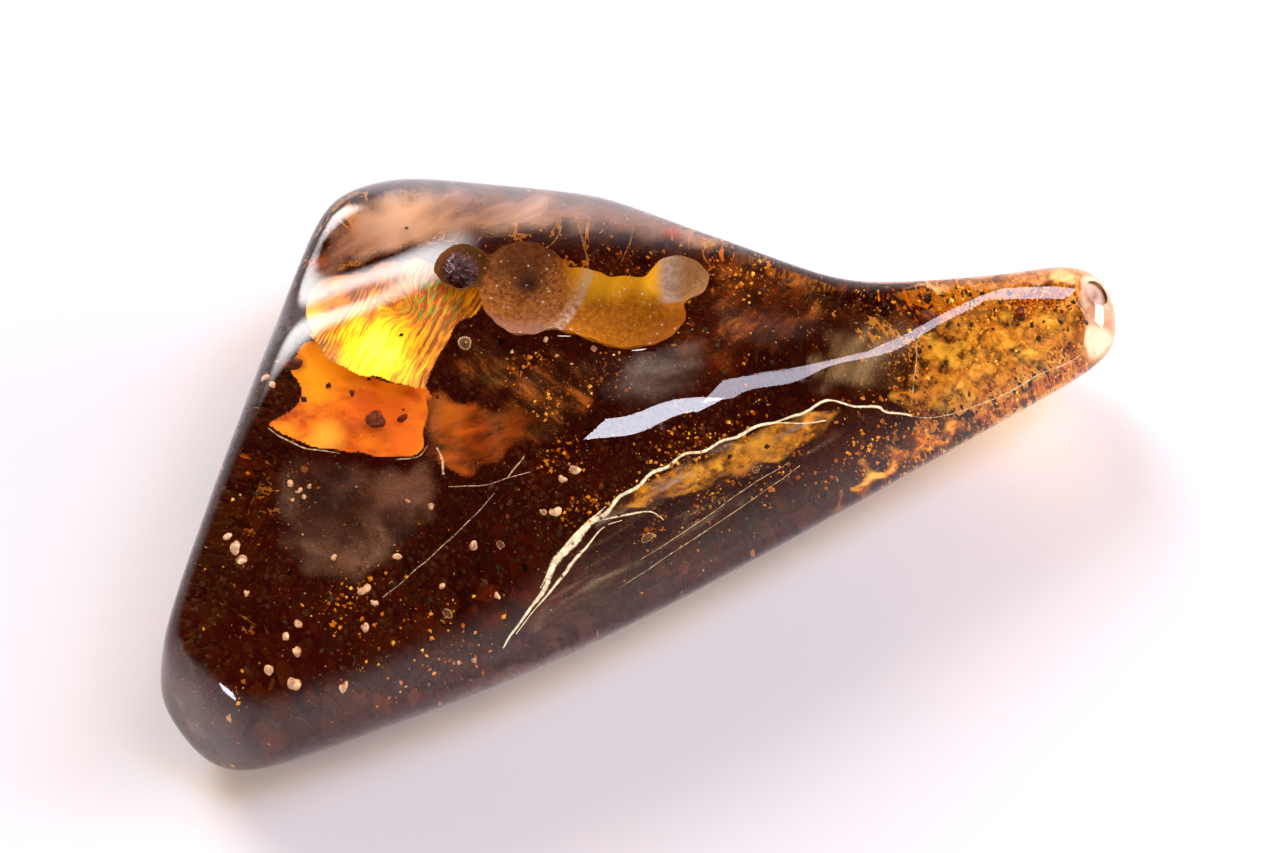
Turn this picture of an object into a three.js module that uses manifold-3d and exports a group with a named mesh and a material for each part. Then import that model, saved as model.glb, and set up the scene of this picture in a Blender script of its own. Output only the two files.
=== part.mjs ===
// Amber pendant stone: a tumbled and polished freeform with a broad body and a drawn-out tail.
// Millimetres, +Z up. The stone lies on its ground base at z = 0, tail towards +X, back towards +Y.
import * as THREE from 'three';
import { mergeVertices } from 'three/addons/utils/BufferGeometryUtils.js';
import Module from 'manifold-3d';

const wasm = await Module();
wasm.setup();

// The heart is the point that the ground faces are measured from.
const heart = new THREE.Vector3(-0.9, -1.65, 9.0);

// Each face: the azimuth and elevation it looks along, in degrees, and its distance from the heart.
const faces = {
  base: [0, -90, 9.7],
  tailUnder: [10, -85.5, 9.9],
  mainFace: [-90, 78, 6.0],
  saddleFace: [70, 84, 6.8],
  tailFace: [-45, 65, 5.8],
  lobeBack: [84, 48, 15.3],
  tailBack: [80, 50, 13.6],
  frontA: [-69.5, 8, 10.0],
  frontAUpper: [-72, 48, 7.6],
  frontAUnder: [-68.5, -36, 10.9],
  frontB: [-57.5, 8, 8.8],
  frontBUpper: [-57, 45, 5.25],
  frontBUnder: [-57.5, -36, 9.1],
  left: [165.4, 8, 25.1],
  leftUpper: [163, 50, 20.2],
  leftUnder: [164, -45, 22.0],
  corner: [-128, 8, 29.6],
  cornerUnder: [-130, -32, 31.8],
  backWall: [87, 8, 22.0],
  backUnder: [90, -45, 18.4],
  lobeCorner: [130, 12, 27.6],
  tailWall: [82.4, 8, 21.9],
  tip: [0, 8, 31.3],
  tipUpper: [20, 50, 22.2],
  tipUnder: [0, -45, 26.7],
  tipBack: [45, 12, 32.2],
  tipFront: [-40, 8, 18.0],
};
const faceSoftness = 0.8; // how widely neighbouring faces are rounded into each other

// Each dent is an ellipsoid taken out of the faces, turned about Z by so many degrees, with a softened rim.
const dents = {
  neck: { centre: [15.5, 33.6, 9.0], radii: [22.0, 22.0, 60.0], turn: 0, softness: 1.0 },
  groove: { centre: [-20.0, 9.9, 18.0], radii: [10.0, 4.0, 3.8], turn: 24, softness: 0.7 },
  dimple: { centre: [-19.5, -8.8, 16.2], radii: [7.5, 6.0, 3.0], turn: 20, softness: 0.35 },
  saddle: { centre: [12.0, 9.0, 21.0], radii: [11.0, 6.0, 8.2], turn: 14, softness: 1.2 },
};
const rippleHeight = 0.02; // the slight waviness that tumbling leaves

// The surface is found along rays that leave a line inside the stone, from the broad body to the tail.
const spineStart = new THREE.Vector3(-18.5, -2.5, 7.6);
const spineEnd = new THREE.Vector3(24.2, 8.9, 6.5);
const raysAround = 68;
const raysAlong = 58;
const spineShare = 0.575; // how much of the line, from its middle, the rays' starts spread over
const reach = 70; // longer than any ray inside the stone
const halvings = 32;
const flatness = 1e-4; // a vertex this near the base plane lies on it

// The natural hollow behind the main face: bays that run into each other under a sharp scalloped rim.
const hollowBays = {
  grainBay: { centre: [-12.3, 9.6, 15.0], radii: [1.7, 1.9, 1.75], turn: 0 },
  leftBay: { centre: [-8.2, 8.0, 15.3], radii: [2.9, 3.9, 2.2], turn: 0 },
  middleBay: { centre: [-4.6, 6.9, 15.0], radii: [2.6, 2.6, 2.0], turn: 0 },
  rightBay: { centre: [-1.4, 6.15, 15.0], radii: [3.6, 2.8, 2.4], turn: 12 },
  roundBay: { centre: [1.7, 9.2, 14.2], radii: [1.9, 1.7, 1.4], turn: 0 },
};
const baySoftness = 0.25;
const hollowGrit = 0.04; // how rough the hollow is
const hollowStart = new THREE.Vector3(-11.4, 8.4, 15.0);
const hollowEnd = new THREE.Vector3(1.2, 8.0, 14.2);
const hollowRaysAround = 32;
const hollowRaysAlong = 40;

// The cord hole through the tail: where its axis passes, which way it runs, and its size.
const drill = { point: [29.3, 11.7, 8.8], direction: [-0.3, 0.1, -0.95], radius: 0.9, length: 24, sides: 20 };

// The mineral grain caught in the left end of the hollow.
const grain = { centre: [-12.3, 9.6, 14.3], radii: [1.05, 1.2, 0.8], lumpiness: 0.08 };

const weldGap = 1e-4; // vertices this near each other are one

const amberLook = { color: 0x7a3208, roughness: 0.08, metalness: 0, transparent: true, opacity: 0.85 };
const grainLook = { color: 0x3a2630, roughness: 0.7, metalness: 0.1 };

const outward = Object.values(faces).map(([azimuth, elevation, distance]) => {
  const turn = THREE.MathUtils.degToRad(azimuth);
  const lift = THREE.MathUtils.degToRad(elevation);
  const normal = new THREE.Vector3(Math.cos(turn), Math.sin(turn), Math.tan(lift)).normalize();
  return { normal, distance };
});

// The largest of the values, rounded over where two of them are nearly equal.
function softLargest(values, softness) {
  const top = Math.max(...values);
  const total = values.reduce((sum, value) => sum + Math.exp((value - top) / softness), 0);
  return top + softness * Math.log(total);
}

// How far a point is outside an ellipsoid, negative inside it.
function outsideEllipsoid(point, { centre, radii, turn }) {
  const local = point.clone().sub(new THREE.Vector3(...centre));
  local.applyAxisAngle(new THREE.Vector3(0, 0, 1), THREE.MathUtils.degToRad(-turn));
  local.divide(new THREE.Vector3(...radii));
  return (local.length() - 1) * Math.min(...radii);
}

function ripple({ x, y, z }) {
  const broad = Math.sin(0.55 * x + 0.2 * y + 1.3) * Math.sin(0.6 * y - 0.25 * z + 0.4);
  const fine = Math.sin(0.9 * x - 0.5 * y + 2) * Math.sin(0.4 * z + 0.7 * y + 1.1);
  return rippleHeight * (broad + 0.5 * fine);
}

// Positive outside the stone and negative inside it.
function stoneField(point) {
  const offset = point.clone().sub(heart);
  let field = softLargest(outward.map((face) => offset.dot(face.normal) - face.distance), faceSoftness);
  for (const dent of Object.values(dents)) {
    field = softLargest([field, -outsideEllipsoid(point, dent)], dent.softness);
  }
  return Math.max(field + ripple(point), -point.z);
}

// Negative inside the hollow's bays and positive outside them.
function hollowField(point) {
  const bays = Object.values(hollowBays).map((bay) => -outsideEllipsoid(point, bay));
  const { x, y, z } = point;
  const coarse = Math.sin(2.6 * x + 1.1 * y) * Math.sin(2.3 * y - 1.7 * z);
  const fine = Math.sin(4.1 * x - 3.3 * y + 2 * z);
  return hollowGrit * (coarse + 0.7 * fine) - softLargest(bays, baySoftness);
}

function surfaceAlong(field, start, direction) {
  let near = 0;
  let far = reach;
  for (let step = 0; step < halvings; step += 1) {
    const middle = (near + far) / 2;
    if (field(start.clone().addScaledVector(direction, middle)) < 0) {
      near = middle;
    } else {
      far = middle;
    }
  }
  return start.clone().addScaledVector(direction, (near + far) / 2);
}

// A sphere with its poles along a line inside the form, each vertex moved along its own ray to the surface.
function wrappedGeometry(field, lineStart, lineEnd, around, along) {
  const geometry = new THREE.SphereGeometry(1, around, along);
  const line = lineEnd.clone().sub(lineStart);
  const ahead = line.clone().normalize();
  const side = new THREE.Vector3(-ahead.y, ahead.x, 0).normalize();
  const below = side.clone().cross(ahead);
  const position = geometry.getAttribute('position');
  const unit = new THREE.Vector3();
  for (let index = 0; index < position.count; index += 1) {
    unit.fromBufferAttribute(position, index);
    const start = lineStart.clone().addScaledVector(line, THREE.MathUtils.clamp(0.5 + spineShare * unit.y, 0, 1));
    const direction = new THREE.Vector3()
      .addScaledVector(ahead, Math.sign(unit.y) * unit.y ** 2)
      .addScaledVector(side, unit.x)
      .addScaledVector(below, unit.z)
      .normalize();
    const hit = surfaceAlong(field, start, direction);
    position.setXYZ(index, hit.x, hit.y, hit.z);
  }
  return geometry;
}

function stoneGeometry() {
  const geometry = wrappedGeometry(stoneField, spineStart, spineEnd, raysAround, raysAlong);
  const position = geometry.getAttribute('position');
  for (let index = 0; index < position.count; index += 1) {
    if (Math.abs(position.getZ(index)) < flatness) {
      position.setZ(index, 0);
    }
  }
  return geometry;
}

function hollowGeometry() {
  return wrappedGeometry(hollowField, hollowStart, hollowEnd, hollowRaysAround, hollowRaysAlong);
}

function drillGeometry() {
  const geometry = new THREE.CylinderGeometry(drill.radius, drill.radius, drill.length, drill.sides);
  const axis = new THREE.Vector3(...drill.direction).normalize();
  geometry.applyQuaternion(new THREE.Quaternion().setFromUnitVectors(new THREE.Vector3(0, 1, 0), axis));
  geometry.translate(...drill.point);
  return geometry;
}

// A rough lump: an icosahedron with every corner pushed in or out by a fixed pattern.
function grainGeometry() {
  const geometry = bare(new THREE.IcosahedronGeometry(1, 2));
  const position = geometry.getAttribute('position');
  const corner = new THREE.Vector3();
  for (let index = 0; index < position.count; index += 1) {
    corner.fromBufferAttribute(position, index);
    const lump = Math.sin(5 * corner.x + 1) * Math.sin(6 * corner.y) + 0.6 * Math.sin(9 * corner.z + 4 * corner.x);
    corner.multiplyScalar(1 + grain.lumpiness * lump);
    position.setXYZ(index, corner.x, corner.y, corner.z);
  }
  geometry.scale(...grain.radii);
  geometry.translate(...grain.centre);
  return geometry;
}

function bare(geometry) {
  geometry.deleteAttribute('normal');
  geometry.deleteAttribute('uv');
  return mergeVertices(geometry, weldGap);
}

function toSolid(geometry) {
  const merged = bare(geometry);
  return new wasm.Manifold(new wasm.Mesh({
    numProp: 3,
    vertProperties: new Float32Array(merged.getAttribute('position').array),
    triVerts: new Uint32Array(merged.getIndex().array),
  }));
}

function toGeometry(solid) {
  const mesh = solid.getMesh();
  const geometry = new THREE.BufferGeometry();
  geometry.setAttribute('position', new THREE.BufferAttribute(mesh.vertProperties, 3));
  geometry.setIndex(new THREE.BufferAttribute(mesh.triVerts, 1));
  geometry.computeVertexNormals();
  return geometry;
}

function amberGeometry() {
  const solid = toSolid(stoneGeometry());
  return toGeometry(solid.subtract(toSolid(hollowGeometry())).subtract(toSolid(drillGeometry())));
}

function named(name, geometry, look) {
  const mesh = new THREE.Mesh(geometry, new THREE.MeshStandardMaterial(look));
  mesh.name = name;
  return mesh;
}

const pendantStone = new THREE.Group();
pendantStone.add(named('amber', amberGeometry(), amberLook));
pendantStone.add(named('mineral_grain', grainGeometry(), grainLook));

export default pendantStone;
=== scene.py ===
# Amber pendant stone: the fine surface, the inclusions, the materials and the studio.
import math

import bmesh
import bpy
import numpy as np
from mathutils import Matrix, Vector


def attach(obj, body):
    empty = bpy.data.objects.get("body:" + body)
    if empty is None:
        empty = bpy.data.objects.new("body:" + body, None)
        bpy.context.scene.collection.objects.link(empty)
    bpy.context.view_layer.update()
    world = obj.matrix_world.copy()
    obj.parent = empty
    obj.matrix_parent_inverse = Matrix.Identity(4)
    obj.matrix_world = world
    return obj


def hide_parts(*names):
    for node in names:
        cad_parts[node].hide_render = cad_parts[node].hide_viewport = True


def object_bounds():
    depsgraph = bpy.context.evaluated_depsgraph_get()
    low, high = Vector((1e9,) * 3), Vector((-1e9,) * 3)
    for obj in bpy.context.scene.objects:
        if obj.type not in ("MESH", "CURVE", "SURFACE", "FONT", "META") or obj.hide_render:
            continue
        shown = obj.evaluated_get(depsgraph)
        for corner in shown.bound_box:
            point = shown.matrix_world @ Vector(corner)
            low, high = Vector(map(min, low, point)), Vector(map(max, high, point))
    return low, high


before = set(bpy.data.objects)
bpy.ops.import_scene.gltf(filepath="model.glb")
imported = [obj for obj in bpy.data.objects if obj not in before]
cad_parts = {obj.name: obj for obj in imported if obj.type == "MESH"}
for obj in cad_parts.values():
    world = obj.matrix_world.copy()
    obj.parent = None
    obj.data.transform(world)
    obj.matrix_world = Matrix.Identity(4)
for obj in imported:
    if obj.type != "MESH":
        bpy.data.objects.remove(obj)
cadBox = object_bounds()
mm = 0.001
degree = math.pi / 180

# The view: the camera looks along +Y and down, and pixelsPerMillimetre holds at the target.
view = {
    "frameWidth": 1280,
    "frameHeight": 853,
    "pixelsPerMillimetre": 15.5,
    "lens": 100.0,
    "sensor": 36.0,
    "elevation": 58 * degree,
    "target": (-0.84, 1.75, 8.0),
}

# The ground faces of the stone: azimuth and elevation in degrees, distance from the heart in millimetres.
# The surface is found along rays from the line between start and end. A vertex within flatness of the base
# plane lies on it, and edges that turn by more than sharpFrom are sharp.
stone = {
    "heart": (-0.9, -1.65, 9.0),
    "faces": {
        "base": (0, -90, 9.7),
        "tailUnder": (10, -85.5, 9.9),
        "mainFace": (-90, 78, 6.0),
        "saddleFace": (70, 84, 6.8),
        "tailFace": (-45, 65, 5.8),
        "lobeBack": (84, 48, 15.3),
        "tailBack": (80, 50, 13.6),
        "frontA": (-69.5, 8, 10.0),
        "frontAUpper": (-72, 48, 7.6),
        "frontAUnder": (-68.5, -36, 10.9),
        "frontB": (-57.5, 8, 8.8),
        "frontBUpper": (-57, 45, 5.25),
        "frontBUnder": (-57.5, -36, 9.1),
        "left": (165.4, 8, 25.1),
        "leftUpper": (163, 50, 20.2),
        "leftUnder": (164, -45, 22.0),
        "corner": (-128, 8, 29.6),
        "cornerUnder": (-130, -32, 31.8),
        "backWall": (87, 8, 22.0),
        "backUnder": (90, -45, 18.4),
        "lobeCorner": (130, 12, 27.6),
        "tailWall": (82.4, 8, 21.9),
        "tip": (0, 8, 31.3),
        "tipUpper": (20, 50, 22.2),
        "tipUnder": (0, -45, 26.7),
        "tipBack": (45, 12, 32.2),
        "tipFront": (-40, 8, 18.0),
    },
    "faceSoftness": 0.8,
    "dents": {
        "neck": ((15.5, 33.6, 9.0), (22.0, 22.0, 60.0), 0, 1.0),
        "groove": ((-20.0, 9.9, 18.0), (10.0, 4.0, 3.8), 24, 0.7),
        "dimple": ((-19.5, -8.8, 16.2), (7.5, 6.0, 3.0), 20, 0.35),
        "saddle": ((12.0, 9.0, 21.0), (11.0, 6.0, 8.2), 14, 1.2),
    },
    "rippleHeight": 0.02,
    "start": (-18.5, -2.5, 7.6),
    "end": (24.2, 8.9, 6.5),
    "around": 300,
    "along": 260,
    "flatness": 1e-4,
    "sharpFrom": 38 * degree,
}

hollow = {
    "bays": {
        "grainBay": ((-12.3, 9.6, 15.0), (1.7, 1.9, 1.75), 0),
        "leftBay": ((-8.2, 8.0, 15.3), (2.9, 3.9, 2.2), 0),
        "middleBay": ((-4.6, 6.9, 15.0), (2.6, 2.6, 2.0), 0),
        "rightBay": ((-1.4, 6.15, 15.0), (3.6, 2.8, 2.4), 12),
        "roundBay": ((1.7, 9.2, 14.2), (1.9, 1.7, 1.4), 0),
    },
    "baySoftness": 0.25,
    "grit": 0.04,
    "start": (-11.4, 8.4, 15.0),
    "end": (1.2, 8.0, 14.2),
    "around": 160,
    "along": 200,
}

drill = {
    "point": (29.3, 11.7, 8.8), "direction": (-0.3, 0.1, -0.95), "radius": 0.9, "length": 24, "sides": 48,
}

# How strongly red, green and blue are absorbed, for each millimetre.
amber = {"ior": 1.54, "absorbed": (0.036, 0.12, 0.34), "roughness": 0.1}


def normalised(vectors):
    return vectors / np.linalg.norm(vectors, axis=-1, keepdims=True)


def directions(angles):
    azimuth, elevation = np.radians(np.array(angles, float).T)
    level = np.cos(elevation)
    return np.stack([level * np.cos(azimuth), level * np.sin(azimuth), np.sin(elevation)], axis=1)


faceNormals = directions([face[:2] for face in stone["faces"].values()])
faceDistances = np.array([face[2] for face in stone["faces"].values()])


# The larger of two values, rounded over where they are nearly equal.
def softLarger(first, second, softness):
    top = np.maximum(first, second)
    return top + softness * np.log(np.exp((first - top) / softness) + np.exp((second - top) / softness))


def outsideEllipsoid(points, centre, radii, turn):
    local = points - np.array(centre)
    c, s = math.cos(turn * degree), math.sin(turn * degree)
    x, y, z = local.T
    local = np.stack([c * x + s * y, c * y - s * x, z], axis=1)
    return (np.linalg.norm(local / np.array(radii), axis=1) - 1) * min(radii)


# Positive outside the stone and negative inside it, near the surface in millimetres.
def stoneField(points):
    gaps = (points - np.array(stone["heart"])) @ faceNormals.T - faceDistances
    top = gaps.max(axis=1)
    soft = stone["faceSoftness"]
    field = top + soft * np.log(np.exp((gaps - top[:, None]) / soft).sum(axis=1))
    for centre, radii, turn, softness in stone["dents"].values():
        field = softLarger(field, -outsideEllipsoid(points, centre, radii, turn), softness)
    x, y, z = points.T
    broad = np.sin(0.55 * x + 0.2 * y + 1.3) * np.sin(0.6 * y - 0.25 * z + 0.4)
    fine = np.sin(0.9 * x - 0.5 * y + 2) * np.sin(0.4 * z + 0.7 * y + 1.1)
    return np.maximum(field + stone["rippleHeight"] * (broad + 0.5 * fine), -z)


# Negative inside the hollow's bays.
def hollowField(points):
    inside = None
    for centre, radii, turn in hollow["bays"].values():
        depth = -outsideEllipsoid(points, centre, radii, turn)
        inside = depth if inside is None else softLarger(inside, depth, hollow["baySoftness"])
    x, y, z = points.T
    coarse = np.sin(2.6 * x + 1.1 * y) * np.sin(2.3 * y - 1.7 * z)
    fine = np.sin(4.1 * x - 3.3 * y + 2 * z)
    return hollow["grit"] * (coarse + 0.7 * fine) - inside


def surfaceAlong(field, starts, ways, reach=70.0, halvings=30):
    near = np.zeros(len(starts))
    far = np.full(len(starts), reach)
    for _ in range(halvings):
        middle = (near + far) / 2
        inside = field(starts + ways * middle[:, None]) < 0
        near = np.where(inside, middle, near)
        far = np.where(inside, far, middle)
    return starts + ways * ((near + far) / 2)[:, None]


# Every pair of a row and a column, as two flat arrays.
def gridPairs(rows, columns):
    return [grid.ravel() for grid in np.meshgrid(rows, columns, indexing="ij")]


spineShare = 0.575  # how much of the line, from its middle, the rays' starts spread over


# A sphere with its poles along a line inside the form, each vertex moved along its own ray to the surface.
def wrapped(field, form):
    start, end = np.array(form["start"]), np.array(form["end"])
    around, along = form["around"], form["along"]
    line = end - start
    ahead = line / np.linalg.norm(line)
    side = normalised(np.array([-ahead[1], ahead[0], 0.0]))
    below = np.cross(side, ahead)
    polar = np.linspace(0, math.pi, along + 1)[1:-1]
    turn = np.arange(around) / around * 2 * math.pi
    polar, turn = gridPairs(polar, turn)
    unit = np.stack([np.sin(polar) * np.cos(turn), np.cos(polar), np.sin(polar) * np.sin(turn)], axis=1)
    unit = np.concatenate([unit, [[0, 1, 0], [0, -1, 0]]])
    starts = start + np.clip(0.5 + spineShare * unit[:, 1:2], 0, 1) * line
    lean = np.sign(unit[:, 1:2]) * unit[:, 1:2] ** 2
    ways = normalised(lean * ahead + unit[:, 0:1] * side + unit[:, 2:3] * below)
    points = surfaceAlong(field, starts, ways)
    rows = along - 1
    row, column = gridPairs(np.arange(rows - 1), np.arange(around))
    after = (column + 1) % around
    here, beyond = row * around, (row + 1) * around
    quads = np.stack([here + column, here + after, beyond + after, beyond + column], 1)
    column = np.arange(around)
    after = (column + 1) % around
    top, bottom = rows * around, rows * around + 1
    caps = np.concatenate([
        np.stack([np.full(around, top), after, column], 1),
        np.stack([np.full(around, bottom), (rows - 1) * around + column, (rows - 1) * around + after], 1),
    ])
    return points, [quads, caps]


def makeMesh(name, points, faces, materials, smooth=True, layout=None):
    mesh = bpy.data.meshes.new(name)
    corners = np.concatenate([part.ravel() for part in faces]).astype(np.int32)
    sizes = np.concatenate([np.full(len(part), part.shape[1]) for part in faces])
    starts = np.concatenate([[0], np.cumsum(sizes)[:-1]]).astype(np.int32)
    mesh.vertices.add(len(points))
    mesh.vertices.foreach_set("co", (np.asarray(points) * mm).astype(np.float32).ravel())
    mesh.loops.add(len(corners))
    mesh.loops.foreach_set("vertex_index", corners)
    mesh.polygons.add(len(sizes))
    mesh.polygons.foreach_set("loop_start", starts)
    mesh.update(calc_edges=True)
    mesh.polygons.foreach_set("use_smooth", np.full(len(sizes), smooth))
    if layout is not None:
        placed = mesh.uv_layers.new(name="layout")
        placed.data.foreach_set("uv", layout[corners].astype(np.float32).ravel())
    mesh.validate()
    for material in materials:
        mesh.materials.append(material)
    piece = bpy.data.objects.new(name, mesh)
    bpy.context.scene.collection.objects.link(piece)
    return piece


# One value in a node tree. Arithmetic on it adds the nodes that work it out.
class Value:
    def __init__(self, tree, socket):
        self.tree = tree
        self.socket = socket

    def math(self, operation, first, second=0.0):
        return self.tree.node("ShaderNodeMath", {"operation": operation}, {0: first, 1: second})

    def __add__(self, other):
        return self.math("ADD", self, other)

    def __radd__(self, other):
        return self.math("ADD", other, self)

    def __sub__(self, other):
        return self.math("SUBTRACT", self, other)

    def __rsub__(self, other):
        return self.math("SUBTRACT", other, self)

    def __mul__(self, other):
        return self.math("MULTIPLY", self, other)

    def __rmul__(self, other):
        return self.math("MULTIPLY", other, self)

    def power(self, other):
        return self.math("POWER", self, other)

    def between(self, low, high):
        settings = {"interpolation_type": "SMOOTHSTEP"}
        inputs = {"Value": self, "From Min": low, "From Max": high}
        return self.tree.node("ShaderNodeMapRange", settings, inputs)


# A material's node tree. Every node is made by one method from its type, its settings and its inputs.
class Tree:
    def __init__(self, owner):
        owner.use_nodes = True
        self.owner = owner
        self.nodes = owner.node_tree.nodes
        self.links = owner.node_tree.links
        self.nodes.clear()

    def socket(self, sockets, key):
        if isinstance(key, int):
            return sockets[key]
        for socket in sockets:
            if socket.identifier == key:
                return socket
        return sockets[key]

    def node(self, kind, settings=(), inputs=(), output=0):
        made = self.nodes.new(kind)
        for name, value in dict(settings).items():
            setattr(made, name, value)
        for key, value in dict(inputs).items():
            target = self.socket(made.inputs, key)
            if isinstance(value, Value):
                self.links.new(value.socket, target)
            else:
                target.default_value = value
        return Value(self, self.socket(made.outputs, output))

    # The object's own coordinates, in millimetres.
    def place(self):
        coordinates = self.node("ShaderNodeTexCoord", output="Object")
        return self.node("ShaderNodeVectorMath", {"operation": "MULTIPLY"}, {0: coordinates, 1: [1 / mm] * 3})

    def part(self, vector, axis):
        return self.node("ShaderNodeSeparateXYZ", {}, {"Vector": vector}, axis)

    def noise(self, place, scale, detail, roughness=0.55, distortion=0.0):
        inputs = {"Vector": place, "Scale": scale, "Detail": detail}
        inputs.update({"Roughness": roughness, "Distortion": distortion})
        return self.node("ShaderNodeTexNoise", {}, inputs, "Fac")

    def cells(self, place, scale):
        return self.node("ShaderNodeTexVoronoi", {}, {"Vector": place, "Scale": scale}, "Distance")

    def mix(self, share, first, second):
        inputs = {"Factor_Float": share, "A_Color": first, "B_Color": second}
        return self.node("ShaderNodeMix", {"data_type": "RGBA"}, inputs, "Result_Color")

    def bump(self, height, strength, distance):
        inputs = {"Height": height, "Strength": strength, "Distance": distance * mm}
        return self.node("ShaderNodeBump", {}, inputs, "Normal")

    def principled(self, inputs):
        return self.node("ShaderNodeBsdfPrincipled", {}, inputs)

    def finish(self, surface, volume=None):
        output = self.nodes.new("ShaderNodeOutputMaterial")
        self.links.new(surface.socket, output.inputs["Surface"])
        if volume is not None:
            self.links.new(volume.socket, output.inputs["Volume"])
        return self.owner


# A colour given as a screen shows it, from 0 to 255, as the plain amount of light that the nodes take.
def colour(red, green, blue):
    return tuple(((value / 255 + 0.055) / 1.055) ** 2.4 if value > 10 else value / 255 / 12.92
                 for value in (red, green, blue)) + (1.0,)


# Light is absorbed by the same plain amount everywhere in the amber, most of it blue.
def absorption(tree):
    strongest = max(amber["absorbed"])
    tint = [1 - part / strongest for part in amber["absorbed"]] + [1.0]
    return tree.node("ShaderNodeVolumeAbsorption", {}, {"Color": tint, "Density": strongest / mm})


# Lamps reach the inclusions straight through the surface, so a shadow ray passes it.
def lampLet(tree, surface):
    path = tree.node("ShaderNodeLightPath", output="Is Shadow Ray")
    clear = tree.node("ShaderNodeBsdfTransparent", {}, {"Color": (0.93, 0.93, 0.93, 1)})
    return tree.node("ShaderNodeMixShader", {}, {0: path, 1: surface, 2: clear})


def polishedAmber():
    tree = Tree(bpy.data.materials.new("polishedAmber"))
    place = tree.place()
    smear = tree.noise(place, 0.35, 3.0)
    scuff = tree.noise(place, 2.5, 5.0)
    surface = tree.principled({
        "Base Color": (1, 1, 1, 1),
        "Transmission Weight": 1.0,
        "IOR": amber["ior"],
        "Roughness": amber["roughness"] * smear.between(0.55, 0.75),
        "Normal": tree.bump(scuff, 0.04, 0.01),
    })
    return tree.finish(lampLet(tree, surface), absorption(tree))


# The bays are sandy brown on the left, amber on the right, and frosted in the small round one.
# They glow a little by emission, a painted glow, with painted shade over the top of the left bay,
# a painted sheen on the ridge and the grain bay painted lighter against its shade.
def hollowRind():
    tree = Tree(bpy.data.materials.new("hollowRind"))
    place = tree.place()
    x = tree.part(place, "X")
    y = tree.part(place, "Y")
    drift = tree.noise(place, 0.5, 4.0)
    sand = tree.noise(place, 3.0, 6.0, 0.7)
    grains = tree.cells(place, 4.0)
    sandy = tree.mix(sand.between(0.35, 0.65), colour(122, 58, 18), colour(190, 112, 44))
    honey = tree.mix(sand.between(0.3, 0.75), colour(164, 86, 6), colour(226, 138, 18))
    tint = tree.mix((x + drift * 2.0).between(-5.2, -3.8), sandy, honey)
    tint = tree.mix((y + drift * 2.0).between(8.6, 9.8) * x.between(-6.0, -4.0), tint, colour(246, 170, 24))
    tint = tree.mix((x - y).between(-7.6, -4.6) * x.between(-4.4, -3.4) * 0.6, tint, colour(150, 70, 6))
    frosted = tree.mix((x + drift).between(1.4, 2.8), colour(218, 184, 160), colour(196, 140, 84))
    frosted = tree.mix(sand.between(0.4, 0.6) * 0.5, frosted, colour(160, 104, 62))
    tint = tree.mix((x + drift).between(0.6, 1.5) * y.between(7.6, 8.2), tint, frosted)
    shaded = (y + drift * 3.0).between(10.2, 12.4) * (1.0 - x.between(-6.6, -5.4))
    tint = tree.mix(shaded * 0.7, tint, colour(96, 46, 20))
    spotAcross = (x + sand).between(-9.2, -7.4) * (1.0 - (x + sand).between(-7.6, -5.8))
    spotAlong = (y + drift).between(8.3, 9.9) * (1.0 - (y + drift).between(9.7, 11.3))
    tint = tree.mix(spotAcross * spotAlong, tint, colour(56, 26, 14))
    greyed = (1.0 - (y + drift).between(5.9, 7.6)) * (1.0 - x.between(-7.6, -5.6)) * 0.7
    tint = tree.mix(greyed, tint, colour(172, 120, 96))
    lean = x - y * 0.53 + 9.0
    # A lighter ridge between the bays with a pale painted sheen on it.
    ridgeSheen = lean.between(-1.0, 0.1) * (1.0 - lean.between(0.0, 0.4)) * sand.between(0.3, 0.6) * 0.7
    tint = tree.mix(ridgeSheen, tint, colour(216, 186, 160))
    # Painted light: the grain bay round the mineral grain is lightened against the shade it lies in.
    tint = tree.mix(1.0 - (x + drift).between(-11.0, -10.2), tint, colour(150, 92, 50))
    chips = tree.cells(place, 2.0)
    tint = tree.mix((1.0 - chips.between(0.12, 0.2)) * sand.between(0.45, 0.6), tint, colour(244, 222, 190))
    surface = tree.principled({
        "Base Color": tree.mix(0.3, tint, (0, 0, 0, 1)),
        "Transmission Weight": 0.15,
        "IOR": amber["ior"],
        "Specular IOR Level": 0.0,
        "Roughness": 0.6,
        # Painted glow: the rind gives off its own tint, which no lamp gives it.
        "Emission Color": tint,
        "Emission Strength": 0.22,
        "Normal": tree.bump(sand - grains * 0.4, 0.7, 0.09),
    })
    return tree.finish(surface, absorption(tree))


def drilledWall():
    tree = Tree(bpy.data.materials.new("drilledWall"))
    place = tree.place()
    chatter = tree.noise(place, 5.0, 5.0)
    surface = tree.principled({
        "Base Color": (1, 0.92, 0.85, 1),
        "Transmission Weight": 1.0,
        "IOR": amber["ior"],
        "Roughness": 0.35,
        "Normal": tree.bump(chatter, 0.4, 0.05),
    })
    return tree.finish(lampLet(tree, surface), absorption(tree))


def cut(piece, cutter):
    modifier = piece.modifiers.new("cut", "BOOLEAN")
    modifier.operation = "DIFFERENCE"
    modifier.solver = "EXACT"
    modifier.material_mode = "TRANSFER"
    modifier.object = cutter
    applied = bpy.data.meshes.new_from_object(piece.evaluated_get(bpy.context.evaluated_depsgraph_get()))
    piece.modifiers.clear()
    old = piece.data
    piece.data = applied
    bpy.data.meshes.remove(old)
    bpy.data.objects.remove(cutter)


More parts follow.
